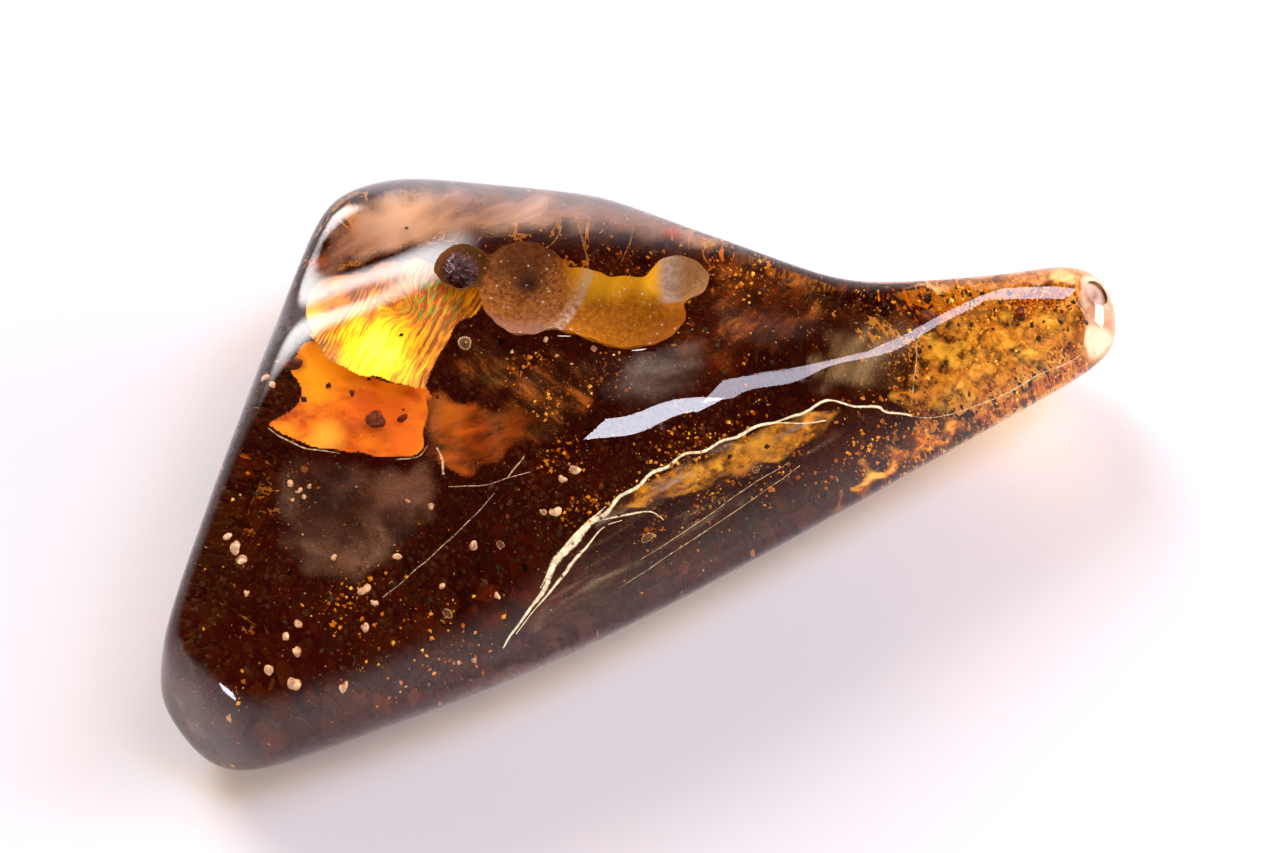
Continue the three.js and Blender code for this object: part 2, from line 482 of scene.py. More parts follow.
def drillBody(material):
    turn = np.arange(drill["sides"]) / drill["sides"] * 2 * math.pi
    axis = normalised(np.array(drill["direction"]))
    across = normalised(np.cross(axis, [0, 1, 0]))
    other = np.cross(axis, across)
    ring = drill["radius"] * (np.cos(turn)[:, None] * across + np.sin(turn)[:, None] * other)
    half = drill["length"] / 2
    centre = np.array(drill["point"])
    points = np.concatenate([ring + centre - half * axis, ring + centre + half * axis])
    count = drill["sides"]
    near = np.arange(count)
    after = (near + 1) % count
    walls = np.stack([near, after, after + count, near + count], 1)
    ends = [near[::-1][None], (near + count)[None]]
    return makeMesh("drillBody", points, [walls] + ends, [material])


def amberStone():
    glass = polishedAmber()
    rind = hollowRind()
    wall = drilledWall()
    points, faces = wrapped(stoneField, stone)
    points[:, 2] = np.where(points[:, 2] < stone["flatness"], 0, points[:, 2])
    piece = makeMesh("amberStone", points, faces, [glass])
    points, faces = wrapped(hollowField, hollow)
    cut(piece, makeMesh("hollowBody", points, faces, [rind]))
    cut(piece, drillBody(wall))
    print("amberStone", [material.name for material in piece.data.materials],
          len(piece.data.polygons), flush=True)
    piece.data.set_sharp_from_angle(angle=stone["sharpFrom"])
    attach(piece, "root")
    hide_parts("amber")


# The camera's place and its three ways, in millimetres.
focal = view["lens"] / view["sensor"] * view["frameWidth"]
distance = focal / view["pixelsPerMillimetre"]
lookWay = np.array([0, math.cos(view["elevation"]), -math.sin(view["elevation"])])
upWay = np.array([0, math.sin(view["elevation"]), math.cos(view["elevation"])])
rightWay = np.array([1.0, 0.0, 0.0])
cameraPlace = np.array(view["target"]) - lookWay * distance


# The search for what a view ray meets: how far before the target it starts, how often and how boldly
# it steps, and the span over which the surface's slope is taken. Lengths are in millimetres.
seeing = {"startsBefore": 45, "steps": 60, "boldness": 0.95, "slopeSpan": 0.02}

# How near to the surface a ray must end, and how far an inner place keeps from the surface and the hollow.
keeping = {"miss": 0.02, "fromSurface": 0.2, "fromHollow": 0.15}


# Where the view ray through each pixel meets the polished surface, and the bent ray inside.
def surfaceSeen(pixels):
    across = (pixels[:, 0:1] - view["frameWidth"] / 2) / focal
    down = (pixels[:, 1:2] - view["frameHeight"] / 2) / focal
    ways = normalised(lookWay + across * rightWay - down * upWay)
    reach = np.full(len(pixels), distance - seeing["startsBefore"])
    for _ in range(seeing["steps"]):
        reach += seeing["boldness"] * stoneField(cameraPlace + ways * reach[:, None])
    points = cameraPlace + ways * reach[:, None]
    step = seeing["slopeSpan"]
    slopes = [stoneField(points + step * axis) - stoneField(points - step * axis) for axis in np.eye(3)]
    normals = normalised(np.stack(slopes, axis=1))
    facing = -(ways * normals).sum(axis=1, keepdims=True)
    ratio = 1 / amber["ior"]
    bent = ratio * ways + (ratio * facing - np.sqrt(1 - ratio ** 2 * (1 - facing ** 2))) * normals
    return points, bent


# The places inside the stone that show at these pixels, so far in from the surface, and which of them are
# sound: the view ray meets the stone there and the place is well inside it.
def within(pixels, depth):
    points, bent = surfaceSeen(pixels)
    sound = np.abs(stoneField(points)) < keeping["miss"]
    points = points + bent * np.broadcast_to(depth, len(pixels))[:, None]
    sound &= stoneField(points) < -keeping["fromSurface"]
    return points, sound & (hollowField(points) > keeping["fromHollow"])


# Only the faces whose corners are all sound.
def soundFaces(faces, sound):
    return faces[sound[faces].all(axis=1)]


# How deep each inner point lies under the surface above it, and the pixel that it shows at.
def shown(points, aboveStone=25.0, halvings=16):
    low = points[:, 2].copy()
    high = np.full(len(points), aboveStone)
    for _ in range(halvings):
        middle = (low + high) / 2
        inside = stoneField(np.column_stack([points[:, :2], middle])) < 0
        low, high = np.where(inside, middle, low), np.where(inside, high, middle)
    depth = low - points[:, 2]
    bend = math.tan(math.asin(math.cos(view["elevation"]) / amber["ior"]))
    entry = points + np.column_stack([np.zeros(len(points)), -bend * depth, depth]) - cameraPlace
    away = entry @ lookWay
    pixels = np.column_stack([entry @ rightWay, -(entry @ upWay)]) / away[:, None] * focal
    return depth, pixels + [view["frameWidth"] / 2, view["frameHeight"] / 2]


def insideOutline(pixels, outline):
    corners = np.array(outline, float)
    hit = np.zeros(len(pixels), bool)
    for first, second in zip(corners, np.roll(corners, -1, axis=0)):
        crosses = (first[1] > pixels[:, 1]) != (second[1] > pixels[:, 1])
        slope = (second[0] - first[0]) / (second[1] - first[1] + 1e-9)
        hit ^= crosses & (pixels[:, 0] < first[0] + slope * (pixels[:, 1] - first[1]))
    return hit


# A smooth random field about 0, its lumps about size across: the sum of waves running every way.
def lumps(points, size, seed, count=14):
    random = np.random.default_rng(seed)
    waves = normalised(random.normal(size=(count, points.shape[1]))) * (math.pi / size)
    phases = random.uniform(0, 2 * math.pi, count)
    return np.sin(points @ waves.T + phases).sum(axis=1) / math.sqrt(count / 2)


# A round curve through the points, as many steps along as asked.
def curveThrough(points, count):
    knots = np.array(points, float)
    padded = np.vstack([2 * knots[0] - knots[1], knots, 2 * knots[-1] - knots[-2]])
    place = np.linspace(0, len(knots) - 1.0001, count)
    index = place.astype(int)
    t = (place - index)[:, None]
    a, b, c, d = [padded[index + shift] for shift in range(4)]
    bend, twist = 2 * a - 5 * b + 4 * c - d, 3 * b - a - 3 * c + d
    return 0.5 * (2 * b + (c - a) * t + bend * t ** 2 + twist * t ** 3)


# How far each pixel is from an outline's edge.
def edgeDistance(pixels, outline):
    corners = np.array(outline, float)
    nearest = np.full(len(pixels), np.inf)
    for first, second in zip(corners, np.roll(corners, -1, axis=0)):
        side = second - first
        place = np.clip((pixels - first) @ side / (side @ side + 1e-9), 0, 1)
        nearest = np.minimum(nearest, np.linalg.norm(pixels - first - place[:, None] * side, axis=1))
    return nearest


pictureUnit = 100  # the layouts of sheets and ribbons count in this many pixels

# Sizes in pixels, shallowest in millimetres under the surface.
sheetForm = {"curveSteps": 10, "raggedSize": 16, "waveSize": 30, "shallowest": 0.35}
ribbonForm = {"narrowest": 0.3, "wobble": 0.2, "wobbleSize": 18, "wobbleSeed": 3}


# A thin sheet inside the stone that shows within an outline of pixels, at a depth that varies over it.
# Its edge attribute runs from 0 at the outline to 1 once fade pixels inside it.
def innerSheet(name, look, material, seed):
    corners = list(look["outline"])
    outline = curveThrough(corners + corners[:1], sheetForm["curveSteps"] * len(corners))
    ragged = look["ragged"]
    low, high = outline.min(axis=0) - 2 * ragged, outline.max(axis=0) + 2 * ragged
    steps = [np.arange(start, stop, look["cell"]) for start, stop in zip(low, high)]
    u, v = np.meshgrid(*steps, indexing="ij")
    pixels = np.column_stack([u.ravel(), v.ravel()])
    shaken = pixels + ragged * np.column_stack([
        lumps(pixels, sheetForm["raggedSize"], seed), lumps(pixels, sheetForm["raggedSize"], seed + 1),
    ])
    kept = insideOutline(shaken, outline).reshape(u.shape)
    whole = kept[:-1, :-1] & kept[1:, :-1] & kept[1:, 1:] & kept[:-1, 1:]
    row, column = np.nonzero(whole)
    width = u.shape[1]
    corner = row * width + column
    faces = np.stack([corner, corner + width, corner + width + 1, corner + 1], 1)
    used, faces = np.unique(faces, return_inverse=True)
    pixels = pixels[used]
    offset = (pixels - outline.mean(axis=0)) / pictureUnit
    waves = look["waves"] * lumps(pixels, sheetForm["waveSize"], seed + 2)
    depth = look["depth"] + offset @ np.array(look["tilt"]) + waves
    points, sound = within(pixels, np.maximum(depth, sheetForm["shallowest"]))
    faces = soundFaces(faces.reshape(-1, 4), sound)
    inside = np.clip(edgeDistance(shaken[used], outline) / look["fade"], 0, 1)
    used, faces = np.unique(faces, return_inverse=True)
    layout = pixels[used] / pictureUnit
    piece = makeMesh(name, points[used], [faces.reshape(-1, 4)], [material], layout=layout)
    edge = piece.data.attributes.new("edge", "FLOAT", "POINT")
    edge.data.foreach_set("value", inside[used])
    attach(piece, "root")


# A narrow strip inside the stone along a line of pixels, with a width in pixels at each of its points.
def innerRibbon(points, depth, drop, steps):
    line = curveThrough(points, steps)
    centre, width = line[:, :2], np.maximum(line[:, 2], ribbonForm["narrowest"])
    ahead = normalised(np.gradient(centre, axis=0))
    across = np.column_stack([-ahead[:, 1], ahead[:, 0]])
    wobble = ribbonForm["wobble"] * width * lumps(centre, ribbonForm["wobbleSize"], ribbonForm["wobbleSeed"])
    rows, sound, layout = [], [], []
    travelled = np.cumsum(np.linalg.norm(np.gradient(centre, axis=0), axis=1)) / pictureUnit
    for side, sink in ((-0.5, drop), (0.0, 0.0), (0.5, drop)):
        places, kept = within(centre + across * (side * width + wobble)[:, None], depth + sink)
        rows.append(places)
        sound.append(kept)
        layout.append(np.column_stack([travelled, np.full(steps, side + 0.5)]))
    index = np.arange(steps - 1)
    faces = []
    for row in range(2):
        start = index + row * steps
        faces.append(np.stack([start, start + 1, start + 1 + steps, start + steps], 1))
    faces = soundFaces(np.concatenate(faces), np.concatenate(sound))
    rows = np.where(np.concatenate(sound)[:, None], np.concatenate(rows), rows[1][steps // 2])
    return rows, faces, np.concatenate(layout)


def innerRibbons(name, ribbons, material, depth, drop=0.12, steps=120):
    strips = [innerRibbon(ribbon, depth, drop, steps) for ribbon in ribbons]
    counts = np.cumsum([0] + [len(strip[0]) for strip in strips])
    points = np.concatenate([strip[0] for strip in strips])
    faces = np.concatenate([strip[1] + count for strip, count in zip(strips, counts)])
    layout = np.concatenate([strip[2] for strip in strips])
    piece = makeMesh(name, points, [faces], [material], layout=layout)
    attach(piece, "root")


# The corners and faces of a speck before it is turned and stretched: an octahedron, or a rounder ball.
def speckForm(rounds):
    if rounds == 0:
        corners = [[1, 0, 0], [-1, 0, 0], [0, 1, 0], [0, -1, 0], [0, 0, 1], [0, 0, -1]]
        sides = [[0, 2, 4], [2, 1, 4], [1, 3, 4], [3, 0, 4], [2, 0, 5], [1, 2, 5], [3, 1, 5], [0, 3, 5]]
        return np.array(corners, float), np.array(sides)
    ball = bmesh.new()
    bmesh.ops.create_icosphere(ball, subdivisions=rounds, radius=1)
    corners = np.array([corner.co for corner in ball.verts])
    sides = np.array([[corner.index for corner in face.verts] for face in ball.faces])
    ball.free()
    return corners, sides


# Small lumps, each turned, flattened and roughened its own way.
def specks(name, centres, sizes, material, seed, rounds=0, flatness=0.5, rough=0.25):
    random = np.random.default_rng(seed)
    corners, sides = speckForm(rounds)
    count = len(centres)
    waves = random.normal(size=(3, 8)) * 1.6
    phases = random.uniform(0, 2 * math.pi, (count, 1, 8))
    swell = 1 + rough * np.sin((corners @ waves)[None] + phases).sum(axis=2) / 2
    shape = swell[:, :, None] * corners
    shape[:, :, 0] *= random.uniform(0.7, 1.0, (count, 1))
    shape[:, :, 2] *= random.uniform(flatness, 1.0, (count, 1))
    first = normalised(random.normal(size=(count, 3)))
    second = normalised(np.cross(first, random.normal(size=(count, 3))))
    turn = np.stack([first, second, np.cross(first, second)], axis=1)
    points = centres[:, None] + (shape @ turn) * sizes[:, None, None]
    faces = (sides[None] + len(corners) * np.arange(count)[:, None, None]).reshape(-1, 3)
    piece = makeMesh(name, points.reshape(-1, 3), [faces], [material], rounds > 0)
    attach(piece, "root")


# Random points in the amber, thicker where density is higher and clear of its surfaces.
def scattered(count, density, seed, margin):
    random = np.random.default_rng(seed)
    low, high = [np.array(corner) / mm for corner in cadBox]
    found = []
    total = 0
    tries = 60000
    axis = normalised(np.array(drill["direction"]))
    while total < count:
        points = random.uniform(low, high, (tries, 3))
        inside = (stoneField(points) < -margin) & (hollowField(points) > margin)
        offset = points - np.array(drill["point"])
        off = np.linalg.norm(offset - (offset @ axis)[:, None] * axis, axis=1)
        points = points[inside & (off > drill["radius"] + margin)]
        points = points[density(points) > random.uniform(size=len(points))]
        found.append(points)
        total += len(points)
    return np.concatenate(found)[:count]


# What a sheet's material reads from the picture plane: how far along and across a turned direction
# a point is, in hundreds of pixels.
def pictureWays(tree, turn):
    layout = tree.node("ShaderNodeTexCoord", output="UV")
    u = tree.part(layout, "X")
    v = tree.part(layout, "Y")
    c, s = math.cos(turn * degree), math.sin(turn * degree)
    return u, v, u * c + v * s, v * c - u * s


def joined(tree, x, y):
    return tree.node("ShaderNodeCombineXYZ", {}, {"X": x, "Y": y})


# 1 near a place in the picture, falling to 0 at a distance from it; both in hundreds of pixels.
def near(u, v, place, size):
    offset = ((u - place[0]) * (u - place[0]) + (v - place[1]) * (v - place[1])).power(0.5)
    return 1.0 - offset.between(0.0, size)


# Each sheet glows by emission of its own tint at its glow strength: a painted glow, since nothing in the
# stone is a lamp.
def sheetLook(name, look):
    tree = Tree(bpy.data.materials.new(name))
    u, v, along, across = pictureWays(tree, look["turn"])
    alongScale, acrossScale = look["grain"]
    streaks = tree.noise(joined(tree, along * alongScale, across * acrossScale), 1.0, 6.0, 0.6, 0.4)
    broad = tree.noise(joined(tree, along * 0.35 * alongScale, across * 0.35 * acrossScale), 1.0, 2.0)
    dark, middle, light = [colour(*part) for part in look["colours"]]
    tint = tree.mix(streaks.between(0.35, 0.6), dark, middle)
    tint = tree.mix((streaks * 0.5 + broad * 0.5).between(0.48, 0.66), tint, light)
    for place, size, spot in look["spots"]:
        tint = tree.mix(near(u, v, place, size) * 0.9, tint, colour(*spot))
    edge = tree.node("ShaderNodeAttribute", {"attribute_name": "edge"}, {}, "Fac")
    low, high = look["holes"]
    cover = (broad * 0.4 + streaks * 0.6).between(low, high) * look["cover"] * edge.between(0.0, 1.0)
    surface = tree.principled({
        "Base Color": tint,
        "Roughness": 0.5,
        "Emission Color": tint,
        "Emission Strength": look["glow"],
        "Alpha": cover,
        "Normal": tree.bump(streaks, 0.5, 0.1),
    })
    return tree.finish(surface)


# What a sheet has unless it says otherwise.
plainSheet = {"tilt": (0.0, 0.0), "waves": 0.1, "cell": 3.0, "ragged": 3.0, "spots": ()}

# Sheets, veils and painted reflections in the stone, each with a painted glow.
# Outlines in pixels of the picture, depth in millimetres below the surface.
sheets = {
    "orangeShelf": {
        "outline": [(268, 424), (290, 410), (300, 395), (290, 370), (300, 345), (322, 338), (345, 362),
                    (380, 378), (424, 386), (434, 400), (425, 428), (427, 445), (414, 456), (392, 459),
                    (338, 452), (300, 443)],
        "colours": [(160, 64, 4), (236, 126, 10), (255, 184, 34)], "turn": 8, "grain": (3.0, 5.0),
        "depth": 1.9, "tilt": (0.3, -0.8), "waves": 0.06, "holes": (0.0, 0.3), "cover": 1.0, "fade": 2.0,
        "glow": 0.2, "cell": 2.0, "ragged": 1.2,
        # Of these spots, the darker orange one in the middle is painted shade and the pale yellow one low on
        # the left is a painted glow.
        "spots": [((3.86, 4.06), 0.75, (214, 100, 5)), ((3.16, 3.72), 0.5, (255, 180, 12)),
                  ((3.27, 4.36), 0.26, (255, 196, 70)), ((4.05, 4.44), 0.3, (240, 124, 20)),
                  ((3.9, 3.86), 0.2, (244, 150, 30)), ((2.98, 3.64), 0.14, (110, 40, 8))],
    },
    "rightGlow": {
        "outline": [(412, 384), (460, 394), (515, 402), (542, 422), (518, 448), (486, 470), (452, 478),
                    (430, 458), (416, 424)],
        "colours": [(80, 32, 6), (146, 68, 12), (206, 112, 24)], "turn": -20, "grain": (3.0, 7.0),
        "depth": 2.6, "tilt": (0.8, 0.0), "waves": 0.15, "holes": (0.1, 0.5), "cover": 0.95, "fade": 16.0,
        "glow": 0.08, "cell": 2.5, "ragged": 4.0, "spots": [((4.5, 4.1), 0.3, (206, 120, 20))],
    },
    "orangeBowl": {
        "outline": [(303, 312), (310, 290), (330, 277), (358, 272), (372, 284), (366, 306), (346, 326),
                    (322, 340), (308, 332)],
        "colours": [(140, 62, 8), (214, 120, 20), (250, 176, 40)], "turn": -35, "grain": (2.0, 9.0),
        "depth": 1.5, "tilt": (0.6, 0.3), "waves": 0.15, "holes": (0.0, 0.3), "cover": 0.97, "fade": 3.0,
        "glow": 0.2, "cell": 2.0, "ragged": 1.5,
        "spots": [((3.12, 3.17), 0.22, (255, 214, 60)), ((3.5, 2.86), 0.16, (190, 84, 10))],
    },
    "shelfVeil": {
        "outline": [(276, 462), (300, 452), (344, 458), (392, 462), (424, 452), (440, 464), (444, 496),
                    (424, 532), (392, 566), (350, 586), (312, 582), (284, 552), (270, 506)],
        "colours": [(44, 18, 13), (92, 58, 50), (146, 112, 104)], "turn": 30, "grain": (1.6, 2.4),
        "depth": 1.0, "waves": 0.05, "holes": (0.15, 0.65), "cover": 0.52, "fade": 22.0,
        "glow": 0.06, "spots": [((4.1, 4.8), 0.5, (136, 98, 90))],
    },
    "amberPatch": {
        "outline": [(604, 512), (636, 488), (664, 470), (710, 449), (768, 425), (822, 405), (846, 410),
                    (824, 430), (806, 446), (776, 466), (740, 477), (708, 487), (672, 498), (636, 508)],
        "colours": [(116, 68, 12), (198, 132, 22), (250, 196, 62)], "turn": -28, "grain": (9.0, 12.0),
        "depth": 1.3, "tilt": (0.2, 0.9), "waves": 0.12, "holes": (0.2, 0.5), "cover": 0.9, "fade": 9.0,
        "glow": 0.1, "cell": 2.5, "spots": [((7.6, 4.46), 0.24, (236, 178, 70))],
    },
    "smokyPocket": {
        "outline": [(516, 640), (556, 572), (606, 508), (660, 470), (720, 440), (826, 408), (880, 414),
                    (822, 452), (764, 492), (694, 540), (622, 590), (560, 634)],
        "colours": [(48, 34, 30), (96, 78, 72), (186, 170, 160)], "turn": -30, "grain": (1.6, 9.0),
        "depth": 0.8, "tilt": (0.0, 0.5), "holes": (0.42, 0.72), "cover": 0.6, "fade": 14.0,
        "glow": 0.04, "cell": 3.5, "ragged": 4.0,
    },
    # Painted reflection: a pinkish-grey sheen over the top of the lobe, with brown and orange spots in it.
    "lobePaintedReflection": {
        "outline": [(300, 286), (312, 256), (336, 214), (380, 190), (450, 180), (540, 184), (620, 198),
                    (690, 216), (724, 238), (716, 256), (660, 246), (590, 236), (500, 240), (440, 250),
                    (380, 262), (330, 284)],
        "colours": [(108, 62, 48), (164, 122, 112), (208, 174, 168)], "turn": -25, "grain": (0.7, 3.4),
        "depth": 0.9, "holes": (0.1, 0.5), "cover": 0.78, "fade": 24.0,
        "glow": 0.2, "cell": 4.0,
        "spots": [((6.3, 2.2), 0.9, (104, 52, 26)), ((4.0, 2.15), 0.6, (206, 170, 160)),
                  ((3.1, 2.56), 0.24, (226, 112, 20)), ((6.72, 2.36), 0.16, (176, 60, 20)),
                  ((7.1, 2.5), 0.2, (206, 150, 70))],
    },
    # Painted reflection: a grey-lavender veil along the lower-left corner.
    "cornerPaintedReflection": {
        "outline": [(170, 636), (186, 640), (200, 684), (206, 716), (228, 738), (212, 746), (186, 728),
                    (170, 690)],
        "colours": [(70, 48, 46), (116, 92, 92), (166, 146, 150)], "turn": 70, "grain": (2.0, 6.0),
        "depth": 0.5, "waves": 0.03, "holes": (0.3, 0.7), "cover": 0.6, "fade": 8.0,
        "glow": 0.04, "ragged": 1.5,
    },
    "hazePatch": {
        "outline": [(590, 352), (634, 338), (690, 334), (716, 348), (704, 388), (660, 410), (612, 406),
                    (588, 384)],
        "colours": [(66, 52, 52), (112, 98, 102), (156, 146, 156)], "turn": -20, "grain": (1.2, 2.4),
        "depth": 0.7, "waves": 0.05, "holes": (0.25, 0.8), "cover": 0.5, "fade": 28.0,
        "glow": 0.04, "cell": 4.0,
    },
    "tailVeil": {
        "outline": [(806, 392), (812, 350), (846, 316), (900, 304), (928, 322), (922, 356), (912, 398),
                    (870, 398), (838, 394)],
        "colours": [(104, 74, 50), (160, 128, 92), (206, 178, 144)], "turn": -60, "grain": (1.2, 3.0),
        "depth": 0.8, "holes": (0.3, 0.8), "cover": 0.5, "fade": 20.0,
        "glow": 0.04, "cell": 4.0, "ragged": 4.0,
    },
    "centreGlow": {
        "outline": [(448, 352), (478, 318), (520, 346), (590, 352), (612, 392), (580, 424), (548, 452),
                    (520, 440), (500, 402), (452, 388)],
        "colours": [(46, 15, 6), (92, 40, 12), (176, 104, 30)], "turn": 40, "grain": (3.0, 12.0),
        "depth": 2.4, "waves": 0.3, "holes": (0.3, 0.65), "cover": 0.8, "fade": 26.0,
        "glow": 0.1, "ragged": 5.0,
    },
    "neckGlow": {
        "outline": [(700, 236), (760, 252), (830, 272), (880, 284), (846, 296), (812, 326), (776, 352),
                    (738, 366), (700, 372), (660, 356), (672, 326), (700, 300)],
        "colours": [(62, 22, 8), (116, 52, 14), (184, 104, 34)], "turn": -35, "grain": (4.0, 7.0),
        "depth": 2.2, "waves": 0.3, "holes": (0.35, 0.65), "cover": 0.8, "fade": 26.0,
        "glow": 0.12, "ragged": 5.0,
    },
    "tailGlow": {
        "outline": [(820, 516), (856, 476), (910, 440), (970, 412), (1030, 386), (1082, 356), (1102, 340),
                    (1104, 362), (1060, 390), (1000, 418), (930, 456), (870, 496)],
        "colours": [(160, 72, 14), (240, 146, 36), (255, 204, 96)], "turn": -28, "grain": (6.0, 8.0),
        "depth": 1.2, "waves": 0.2, "holes": (0.3, 0.55), "cover": 0.95, "fade": 16.0,
        "glow": 0.6, "cell": 2.5, "ragged": 4.0,
    },
    # The tip's pale frosted look, with a painted pinkish sheen and glow over it.
    "tipFrostAndSheen": {
        "outline": [(1074, 292), (1084, 272), (1100, 276), (1114, 296), (1120, 328), (1108, 352),
                    (1088, 360), (1082, 344), (1086, 320)],
        "colours": [(180, 128, 108), (222, 180, 160), (252, 232, 220)], "turn": 0, "grain": (3.0, 3.0),
        "depth": 0.45, "waves": 0.05, "holes": (0.1, 0.6), "cover": 0.8, "fade": 7.0,
        "glow": 0.35, "cell": 2.0, "ragged": 2.0,
    },
    "tailEdge": {
        "outline": [(884, 284), (950, 279), (1006, 268), (1058, 263), (1088, 268), (1084, 284), (1040, 288),
                    (984, 290), (930, 292)],
        "colours": [(150, 84, 34), (206, 146, 84), (246, 208, 160)], "turn": -6, "grain": (5.0, 8.0),
        "depth": 0.5, "waves": 0.05, "holes": (0.25, 0.6), "cover": 0.8, "fade": 6.0,
        "glow": 0.3, "cell": 2.0, "ragged": 2.0,
    },
    "tailBed": {
        "outline": [(926, 330), (960, 308), (1040, 304), (1078, 312), (1084, 340), (1040, 372), (980, 402),
                    (924, 414), (890, 404), (908, 366)],
        "colours": [(52, 24, 8), (200, 132, 26), (255, 220, 100)], "turn": 0, "grain": (7.0, 7.0),
        "depth": 1.6, "waves": 0.2, "holes": (0.3, 0.5), "cover": 0.85, "fade": 16.0,
        "glow": 0.22, "cell": 2.5, "ragged": 5.0,
    },
    # Painted reflection: the pinkish veil of the pale floor on the lower bevel.
    "bevelPaintedReflection": {
        "outline": [(436, 694), (500, 668), (580, 638), (660, 604), (740, 566), (820, 522), (828, 534),
                    (748, 580), (664, 624), (584, 656), (500, 686), (446, 704)],
        "colours": [(120, 84, 78), (176, 134, 124), (222, 184, 172)], "turn": -24, "grain": (1.0, 9.0),
        "depth": 0.6, "waves": 0.03, "holes": (0.25, 0.7), "cover": 0.42, "fade": 9.0,
        "glow": 0.12, "cell": 3.5, "ragged": 2.0,
    },
}


def innerSheets():
    for seed, (name, own) in enumerate(sheets.items()):
        look = {**plainSheet, **own}
        innerSheet(name, look, sheetLook(name + "Look", look), 10 * seed + 5)


# The bright fracture, where the light it throws back is painted: yellow in streaks that glow by emission,
# a painted glow, with a painted highlight, brown and swirled at the top, and green and red flecks of thin
# film by the hollow.
sun = {
    "outline": [(308, 334), (330, 320), (348, 300), (352, 278), (372, 268), (404, 258), (440, 262),
                (466, 276), (488, 294), (478, 312), (458, 326), (446, 348), (432, 372), (424, 388),
                (396, 382), (368, 376), (342, 368), (322, 352)],
    "depth": 1.2, "tilt": (0.5, -0.9), "waves": 0.08, "fade": 4.0, "cell": 1.6, "ragged": 1.2,
    "highlightPlace": (3.78, 3.52), "highlightSize": 0.62,
    "fleckPlace": (4.3, 2.88), "fleckSize": 0.62,
    "swirlPlace": (4.05, 3.05), "swirlSize": 0.3,
    "glow": 0.5,
}


def sunLook():
    tree = Tree(bpy.data.materials.new("sunLook"))
    u, v, along, across = pictureWays(tree, 118)
    swirl = near(u, v, sun["swirlPlace"], sun["swirlSize"])
    drift = tree.noise(joined(tree, u * 3.0, v * 3.0), 1.0, 2.0) * (0.1 + 0.5 * swirl)
    streaks = tree.noise(joined(tree, along * 2.0, (across + drift) * 22.0), 1.0, 5.0, 0.65, 0.3)
    fine = tree.noise(joined(tree, along * 5.0, (across + drift) * 50.0), 1.0, 4.0, 0.6)
    patches = tree.noise(joined(tree, u * 5.0, v * 5.0), 1.0, 4.0, 0.6)
    # Painted highlight: the streaks are brightened round one place low in the fracture.
    bright = near(u, v, sun["highlightPlace"], sun["highlightSize"])
    heat = streaks * 0.6 + fine * 0.35 + patches * 0.3 + bright * 0.34 - 0.22
    tint = tree.mix(heat.between(0.36, 0.5), colour(120, 58, 6), colour(212, 136, 14))
    tint = tree.mix(heat.between(0.48, 0.6), tint, colour(255, 205, 0))
    tint = tree.mix(heat.between(0.62, 0.78), tint, colour(255, 244, 90))
    fleck = near(u, v, sun["fleckPlace"], sun["fleckSize"])
    film = tree.noise(joined(tree, along * 9.0, across * 34.0), 1.0, 3.0)
    tint = tree.mix(film.between(0.53, 0.6) * fleck, tint, colour(60, 160, 50))
    tint = tree.mix((1.0 - film.between(0.36, 0.42)) * fleck, tint, colour(196, 60, 24))
    edge = tree.node("ShaderNodeAttribute", {"attribute_name": "edge"}, {}, "Fac")
    surface = tree.principled({
        "Base Color": tint,
        "Roughness": 0.35,
        "Emission Color": tint,
        "Emission Strength": sun["glow"],
        "Alpha": (edge * 1.6 + streaks - 0.5).between(0.0, 0.6),
        "Normal": tree.bump(streaks, 0.8, 0.1),
    })
    return tree.finish(surface)


